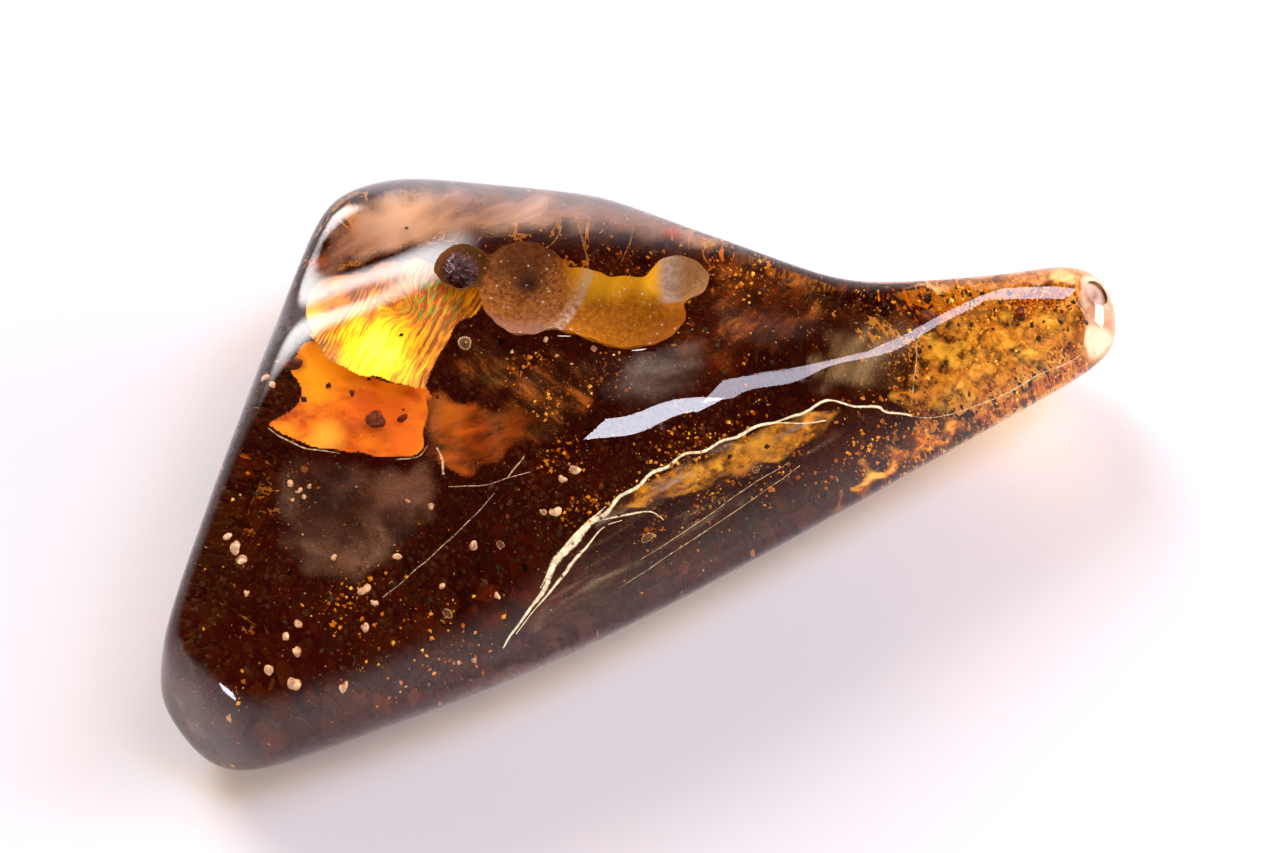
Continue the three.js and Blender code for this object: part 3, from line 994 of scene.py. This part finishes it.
# Pale cracks, and painted glints along the hollow's lower rim: each line's points are pixels with a width.
# The first is the long feathery one.
cracksAndRimGlints = {
    "feathered": [
        [(503, 648, 2), (511, 634, 3), (530, 611, 4), (549, 579, 8), (568, 548, 11), (587, 525, 9),
         (606, 512, 6), (635, 487, 5), (660, 469, 5), (682, 457, 4), (708, 448, 4), (738, 435, 4),
         (767, 424, 3), (797, 416, 4), (819, 403, 4), (834, 401, 3), (856, 407, 3), (878, 406, 4),
         (887, 412, 3), (911, 417, 3)],
        [(738, 434, 2), (767, 423, 2), (797, 424, 2), (826, 421, 2)],
        [(600, 520, 2), (628, 514, 3), (650, 512, 2), (664, 520, 1.5)],
        [(516, 634, 1), (538, 606, 2), (558, 582, 4), (574, 560, 5), (590, 542, 3), (606, 526, 2),
         (622, 520, 1)],
        [(540, 588, 1), (556, 560, 3), (572, 538, 4), (590, 520, 3), (606, 506, 1)],
    ],
    "fine": [
        [(911, 417, 2), (937, 417, 1.6), (967, 409, 2), (1004, 394, 2), (1041, 374, 2.4), (1078, 357, 2),
         (1084, 344, 1.6), (1085, 318, 2), (1074, 300, 1.6), (1065, 292, 1)],
        [(911, 403, 1), (915, 372, 1.4), (919, 337, 1.4), (930, 325, 1)],
        [(268, 428, 1.5), (285, 440, 2.2), (310, 449, 2), (340, 453, 1.2)],
        [(396, 460, 1.2), (418, 456, 1.6), (428, 446, 1.2)],
        [(436, 448, 2.5), (441, 462, 4), (445, 474, 3)],
        [(448, 486, 1), (478, 486, 1.4), (508, 478, 1.2), (530, 472, 1)],
        [(508, 478, 1.5), (516, 468, 2.5), (524, 456, 1.5)],
        [(383, 598, 1), (420, 566, 1.2), (460, 530, 1.2), (495, 493, 1)],
        [(620, 588, 1), (680, 548, 1.4), (740, 508, 1.2), (800, 466, 1)],
        [(640, 560, 1), (690, 528, 1.4), (750, 486, 1.2), (790, 462, 1)],
    ],
    # Painted highlights: short bright glints along the hollow's lower rim.
    "rim": [
        [(508, 326, 1), (516, 336, 1.6), (536, 338, 1.2)],
        [(558, 336, 1), (586, 336, 2.4), (606, 340, 1)],
        [(616, 347, 1), (630, 350, 2), (648, 347, 1.6), (668, 329, 1)],
        [(680, 307, 0.8), (692, 293, 1.2), (703, 283, 0.8)],
    ],
    "wisps": [
        [(540, 178, 1), (556, 200, 2), (560, 226, 2.4), (552, 244, 2), (530, 254, 1)],
        [(596, 190, 1), (580, 214, 2), (582, 240, 3), (588, 262, 2), (586, 276, 1)],
        [(498, 196, 1), (512, 214, 2), (516, 236, 1.4)],
        [(636, 214, 1), (630, 240, 2), (622, 262, 1.4)],
        [(548, 262, 1), (572, 276, 1.6), (590, 290, 1)],
    ],
}


# Each ribbon glows by emission of its own tint at its glow strength: a painted glow.
def ribbonLook(name, first, second, cover, glow):
    tree = Tree(bpy.data.materials.new(name))
    place = tree.place()
    fibres = tree.noise(place, 3.0, 5.0, 0.7)
    layout = tree.node("ShaderNodeTexCoord", output="UV")
    side = tree.part(layout, "Y")
    middle = 1.0 - ((side - 0.5) * (side - 0.5) * 4.0)
    tint = tree.mix(fibres.between(0.4, 0.65), colour(*first), colour(*second))
    surface = tree.principled({
        "Base Color": tint,
        "Roughness": 0.6,
        "Emission Color": tint,
        "Emission Strength": glow,
        "Alpha": (middle * 0.9 + fibres * 1.4 - 0.9).between(0.0, 0.7) * cover,
        "Normal": tree.bump(fibres, 0.5, 0.05),
    })
    return tree.finish(surface)


def crackAndGlintRibbons():
    cream = ribbonLook("creamCrackAndGlint", (224, 222, 214), (255, 255, 255), 0.95, 0.34)
    pale = ribbonLook("paleCrack", (180, 150, 120), (255, 236, 206), 0.7, 0.18)
    gold = ribbonLook("goldWisp", (176, 112, 40), (226, 168, 84), 0.24, 0.12)
    innerRibbons("whiteCrack", cracksAndRimGlints["feathered"], cream, 0.9)
    innerRibbons("fineCracks", cracksAndRimGlints["fine"], pale, 0.7)
    innerRibbons("lobeWisps", cracksAndRimGlints["wisps"], gold, 0.7)
    # Painted glints on the rim of the hollow, in the cream crack look.
    innerRibbons("rimGlints", cracksAndRimGlints["rim"], cream, 0.26, 0.02)


# Zones where the amber in front of a sheet is clear: its outline, and how deep the clear part goes.
clearSheets = [sheets[name] for name in ("orangeShelf", "rightGlow", "orangeBowl", "amberPatch")]
clearZones = [(look["outline"], look["depth"] + 0.5) for look in clearSheets]
clearZones.append((sun["outline"], sun["depth"] + 0.6))

# The specks. Shares rise from the first to the second number along x or y, or with depth, in millimetres.
grains = {
    "debrisFades": (8.0, 22.0),
    "debrisDepth": (1.2, 7.5),
    "lobeClears": (10.0, 14.0),
    "goldenStarts": (12.0, 22.0),
    "debris": {"count": 24000, "smallest": 0.1, "spread": 0.16},
    "clumps": {"count": 5200, "smallest": 0.4, "spread": 0.7},
    "golden": {"count": 8000, "smallest": 0.04, "spread": 0.15},
    "black": {"count": 1500, "smallest": 0.06, "spread": 0.24},
    "dust": {"count": 2600, "smallest": 0.02, "spread": 0.05},
}

# Places with more golden grains: pixel, radius in pixels and how many.
goldenPlaces = [
    (536, 384, 34, 0.9), (600, 372, 30, 0.4), (480, 420, 40, 0.3), (560, 450, 30, 0.3), (576, 490, 30, 0.6),
    (350, 600, 44, 0.45), (376, 716, 26, 0.4), (220, 690, 30, 0.4), (640, 300, 60, 0.3), (740, 260, 50, 0.5),
    (900, 262, 60, 0.3), (690, 470, 60, 0.9), (640, 500, 30, 0.8), (760, 450, 50, 0.6), (860, 470, 60, 0.7),
    (960, 420, 70, 1.0), (1040, 330, 80, 1.0), (430, 640, 60, 0.25),
]


def rise(values, limits):
    share = np.clip((values - limits[0]) / (limits[1] - limits[0]), 0, 1)
    return share * share * (3 - 2 * share)


def inClearZone(depth, pixels):
    hidden = np.zeros(len(pixels), bool)
    for outline, limit in clearZones:
        hidden |= (depth < limit) & insideOutline(pixels, outline)
    return hidden


def debrisDensity(points):
    depth, pixels = shown(points)
    cloud = np.clip(0.7 + 0.45 * lumps(points, 6.0, 21), 0.2, 1)
    thin = 1 - 0.92 * rise(points[:, 0], grains["debrisFades"])
    thin *= 1 - 0.75 * rise(points[:, 1], grains["lobeClears"])
    return cloud * thin * (0.05 + 0.95 * rise(depth, grains["debrisDepth"])) * ~inClearZone(depth, pixels)


def clumpDensity(points):
    depth, pixels = shown(points)
    deep = rise(-points[:, 2], (-7.5, -4.5))
    return deep * (1 - rise(points[:, 0], grains["debrisFades"])) * ~inClearZone(depth, pixels)


def goldenDensity(points):
    depth, pixels = shown(points)
    tail = rise(points[:, 0], grains["goldenStarts"]) * np.clip(0.3 + 0.7 * lumps(points, 2.4, 32), 0.04, 1)
    share = np.maximum(0.004, tail)
    for across, down, radius, much in goldenPlaces:
        off = np.linalg.norm(pixels - [across, down], axis=1) / radius
        share = np.maximum(share, 0.6 * much * np.clip(1.2 - off, 0, 1) * (lumps(points, 1.6, 33) > 0.3))
    return share * ~inClearZone(depth, pixels)


def blackDensity(points):
    share = np.clip(0.15 + rise(points[:, 0], grains["goldenStarts"]), 0, 1)
    return share * np.clip(0.5 + 0.6 * lumps(points, 5.0, 41), 0.05, 1)


# Grains glow by emission of their own tint at their glow strength, a painted glow, and shade darkens their
# base colour towards black so that lamps add less to it.
def grainLook(name, tints, scale, roughness, glow, shade=0.0):
    tree = Tree(bpy.data.materials.new(name))
    place = tree.place()
    patches = tree.noise(place, scale, 3.0)
    dark, middle, light = [colour(*tint) for tint in tints]
    tint = tree.mix(patches.between(0.36, 0.52), dark, middle)
    tint = tree.mix(patches.between(0.56, 0.68), tint, light)
    surface = tree.principled({
        "Base Color": tree.mix(shade, tint, (0, 0, 0, 1)),
        "Roughness": roughness,
        "Emission Color": tint,
        "Emission Strength": glow,
        "Normal": tree.bump(tree.noise(place, 6.0, 3.0), 0.5, 0.05),
    })
    return tree.finish(surface)


def grainSizes(kind, seed):
    random = np.random.default_rng(seed)
    return kind["smallest"] + kind["spread"] * random.uniform(size=kind["count"]) ** 2


def allSpecks():
    debris = grainLook("debrisLook", [(66, 22, 9), (84, 30, 11), (112, 46, 16)], 0.25, 0.8, 0.36, 0.8)
    clump = grainLook("clumpLook", [(70, 20, 8), (90, 28, 10), (124, 44, 14)], 0.2, 0.8, 0.42, 0.8)
    golden = grainLook("goldenLook", [(146, 80, 12), (224, 156, 32), (255, 224, 110)], 1.2, 0.45, 0.2)
    black = grainLook("blackLook", [(6, 4, 3), (16, 9, 6), (40, 20, 10)], 2.0, 0.6, 0.0)
    dust = grainLook("dustLook", [(200, 160, 120), (232, 208, 170), (255, 244, 224)], 1.0, 0.5, 0.25)
    rows = [
        ("darkDebris", "debris", debrisDensity, debris, 0.45),
        ("fineDebris", "debris", debrisDensity, debris, 0.45),
        ("darkClumps", "clumps", clumpDensity, clump, 1.2),
        ("goldenGrains", "golden", goldenDensity, golden, 0.3),
        ("blackSpecks", "black", blackDensity, black, 0.3),
        ("paleDust", "dust", blackDensity, dust, 0.25),
    ]
    for seed, (name, kind, density, material, margin) in enumerate(rows):
        centres = scattered(grains[kind]["count"], density, 50 + seed, margin)
        specks(name, centres, grainSizes(grains[kind], 70 + seed), material, 90 + seed)
        print(name, flush=True)


# Pale flecks, bubbles and dark blotches just under the surface: pixel, then radius in pixels.
flecks = {
    "pale": [(228, 536, 5), (236, 548, 6), (242, 560, 5), (574, 469, 5), (563, 480, 5), (543, 512, 4),
             (555, 512, 4), (396, 557, 4), (364, 590, 6), (375, 603, 4), (364, 627, 4), (334, 558, 3),
             (431, 506, 4), (407, 501, 3), (474, 545, 4), (441, 586, 3), (497, 596, 3), (246, 593, 3),
             (286, 637, 3), (474, 661, 3), (459, 663, 2), (541, 667, 3), (343, 688, 6), (299, 624, 4),
             (270, 670, 5), (297, 650, 4), (294, 686, 6), (632, 315, 3), (290, 484, 3), (297, 492, 2),
             # The fleck at (229, 718) is a painted highlight on the lower-left corner.
             (304, 497, 3), (293, 500, 2), (265, 378, 4), (272, 384, 3), (229, 718, 3), (300, 490, 2),
             (309, 486, 2), (512, 352, 2), (545, 340, 3), (557, 356, 2), (594, 348, 3)],
    "bubbles": [(465, 343, 8), (647, 538, 7), (448, 614, 6), (500, 545, 4), (610, 342, 4), (756, 470, 4)],
    "dark": [(295, 363, 11), (377, 420, 12), (404, 417, 6), (330, 292, 3), (352, 393, 5), (928, 316, 10),
             (1020, 314, 8), (519, 270, 7)],
}


def fleckCentres(kind, depth):
    rows = np.array(flecks[kind], float)
    centres, sound = within(rows[:, :2], depth)
    return centres[sound], rows[sound, 2] / view["pixelsPerMillimetre"]


# A bubble shows as a pale rim round a clear middle: the rim's brightness is a painted reflection.
def bubbleLook():
    tree = Tree(bpy.data.materials.new("bubbleLook"))
    rim = tree.node("ShaderNodeLayerWeight", {}, {"Blend": 0.4}, "Facing")
    film = tree.noise(tree.place(), 2.0, 3.0)
    tint = tree.mix(film, colour(230, 176, 140), colour(255, 238, 220))
    surface = tree.principled({
        "Base Color": tint,
        "Roughness": 0.2,
        "Alpha": rim.between(0.25, 0.8) * 0.85 + film * 0.1,
    })
    return tree.finish(surface)


def allFlecks():
    pale = grainLook("fleckLook", [(170, 124, 104), (222, 184, 164), (255, 240, 230)], 2.2, 0.5, 0.12)
    centres, sizes = fleckCentres("pale", 0.9)
    specks("paleFlecks", centres, sizes, pale, 121, 3, 0.5, 0.3)
    centres, sizes = fleckCentres("bubbles", 0.9)
    specks("bubbles", centres, sizes, bubbleLook(), 122, 3, 0.6, 0.1)
    blotch = grainLook("blotchLook", [(54, 16, 10), (104, 34, 14), (150, 70, 50)], 3.0, 0.7, 0.0)
    centres, sizes = fleckCentres("dark", 1.2)
    specks("darkBlotches", centres, 0.8 * sizes, blotch, 123, 3, 0.4, 0.3)


mineral = {
    "centre": (-12.3, 9.6, 14.3), "radii": (1.05, 1.2, 0.8), "lumpiness": 0.08, "rounds": 4,
    "crystals": 0.1, "crystalSize": 0.34,
}


# The mineral grain in the hollow: the rough lump of the solids with small crystal faces all over it.
def mineralGrain():
    tree = Tree(bpy.data.materials.new("mineralLook"))
    place = tree.place()
    crystals = tree.cells(place, 3.2)
    grit = tree.noise(place, 5.0, 5.0, 0.7)
    side = tree.noise(place, 0.9, 2.0)
    tint = tree.mix(crystals.between(0.1, 0.5), colour(132, 60, 50), colour(58, 22, 18))
    x = tree.part(place, "X")
    # The glint is partly the grain's own metallic, smoother crystals and partly a pale painted highlight kept
    # to its left side.
    glint = grit.between(0.5, 0.6) * (1.0 - (x + side).between(-12.5, -12.0))
    tint = tree.mix(glint, tint, colour(206, 180, 178))
    surface = tree.principled({
        "Base Color": tint,
        "Metallic": glint * 0.6,
        "Roughness": 0.8 - 0.45 * glint,
        "Normal": tree.bump(crystals + grit, 0.9, 0.12),
    })
    unit, sides = speckForm(mineral["rounds"])
    x, y, z = unit.T
    lump = np.sin(5 * x + 1) * np.sin(6 * y) + 0.6 * np.sin(9 * z + 4 * x)
    steps = np.round(unit / mineral["crystalSize"] + 0.6 * np.sin(7 * unit[:, [1, 2, 0]])).sum(axis=1)
    swell = 1 + mineral["lumpiness"] * lump + mineral["crystals"] * np.sin(2.4 * steps)
    points = unit * swell[:, None] * np.array(mineral["radii"]) + np.array(mineral["centre"])
    piece = makeMesh("mineralLump", points, [sides], [tree.finish(surface)], False)
    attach(piece, "root")
    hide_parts("mineral_grain")


def makeCamera():
    data = bpy.data.cameras.new("camera")
    data.lens = view["lens"]
    data.sensor_width = view["sensor"]
    data.clip_start = 0.01
    camera = bpy.data.objects.new("camera", data)
    turned = Matrix(np.stack([rightWay, upWay, -lookWay], axis=1)).to_4x4()
    camera.matrix_world = Matrix.Translation(cameraPlace * mm) @ turned
    bpy.context.scene.collection.objects.link(camera)
    bpy.context.scene.camera = camera


def makeFloor():
    tree = Tree(bpy.data.materials.new("paleFloor"))
    material = tree.finish(tree.principled({"Base Color": (0.88, 0.84, 0.84, 1), "Roughness": 0.8}))
    half, sunk = 4000.0, -0.03  # in millimetres
    points = np.array([[-half, -half, sunk], [half, -half, sunk], [half, half, sunk], [-half, half, sunk]])
    makeMesh("floor", points, [np.array([[0, 1, 2, 3]])], [material])


# Each lamp: the way to it from the stone, how far, its width and height, its power and its colour.
lamps = {
    "lowStrip": {
        "way": (0.351, 0.021, 0.936), "distance": 0.72, "size": (0.32, 0.075),
        "power": 1.25, "tint": (0.86, 0.86, 1.0), "across": (0.888, -0.428, -0.168),
    },
    "cornerStrip": {
        "way": (0.521, 0.074, 0.85), "distance": 0.73, "size": (0.17, 0.07),
        "power": 0.36, "tint": (0.88, 0.84, 1.0), "across": (-0.166, 0.966, -0.2),
    },
    "tailBox": {
        "way": (0.617, 0.307, 0.725), "distance": 0.7, "size": (0.19, 0.21),
        "power": 1.25, "tint": (0.88, 0.84, 1.0), "across": (1, 0, 0),
    },
    "rightBox": {
        "way": (0.95, 0.2, 0.22), "distance": 0.9, "size": (0.5, 0.3),
        "power": 6.0, "tint": (1.0, 1.0, 1.0),
    },
    "frontBox": {
        "way": (-0.45, -0.85, 0.35), "distance": 1.0, "size": (0.2, 0.2),
        "power": 3.0, "tint": (0.9, 0.86, 1.0),
    },
}


def makeLamps():
    for name, lamp in lamps.items():
        data = bpy.data.lights.new(name, "AREA")
        data.shape = "RECTANGLE"
        data.size, data.size_y = lamp["size"]
        data.energy = lamp["power"]
        data.color = lamp["tint"]
        way = normalised(np.array(lamp["way"], float))
        across = np.array(lamp.get("across", np.cross([0, 0, 1], way)), float)
        across = normalised(across - way * (across @ way))
        light = bpy.data.objects.new(name, data)
        turned = Matrix(np.stack([across, np.cross(way, across), way], axis=1)).to_4x4()
        light.matrix_world = Matrix.Translation(way * lamp["distance"]) @ turned
        bpy.context.scene.collection.objects.link(light)


surroundings = {
    "low": (1.0, 0.98, 0.98, 1), "high": (0.02, 0.02, 0.025, 1), "darkens": (0.13, 0.66),
    "softLightWay": (-0.42, 0.78, 0.46), "softLightEdge": (0.925, 1.0), "softLight": (15.0, 14.5, 14.6, 1),
}


# The surroundings are bright low down and dark overhead, with one broad light behind whose edge is soft.
def makeWorld():
    world = bpy.data.worlds.new("studio")
    bpy.context.scene.world = world
    tree = Tree(world)
    way = tree.node("ShaderNodeTexCoord", output="Generated")
    height = tree.part(way, "Z")
    tint = tree.mix(height.between(*surroundings["darkens"]), surroundings["low"], surroundings["high"])
    aim = normalised(np.array(surroundings["softLightWay"]))
    towards = tree.node("ShaderNodeVectorMath", {"operation": "DOT_PRODUCT"}, {0: way, 1: list(aim)}, "Value")
    tint = tree.mix(towards.between(*surroundings["softLightEdge"]), tint, surroundings["softLight"])
    light = tree.node("ShaderNodeBackground", {}, {"Color": tint, "Strength": 1.0})
    output = tree.nodes.new("ShaderNodeOutputWorld")
    tree.links.new(light.socket, output.inputs["Surface"])


def setStudio():
    scene = bpy.context.scene
    scene.view_settings.view_transform = "Standard"
    scene.cycles.max_bounces = 16
    scene.cycles.transmission_bounces = 16
    scene.cycles.transparent_max_bounces = 24
    scene.cycles.sample_clamp_indirect = 6.0


makeCamera()
print("camera", flush=True)
amberStone()
print("stone", flush=True)
innerSheets()
innerSheet("sunFracture", sun, sunLook(), 301)
print("sheets", flush=True)
crackAndGlintRibbons()
print("cracksAndRimGlints", flush=True)
allSpecks()
allFlecks()
print("flecks", flush=True)
mineralGrain()
makeFloor()
makeLamps()
makeWorld()
setStudio()
print("size", flush=True)
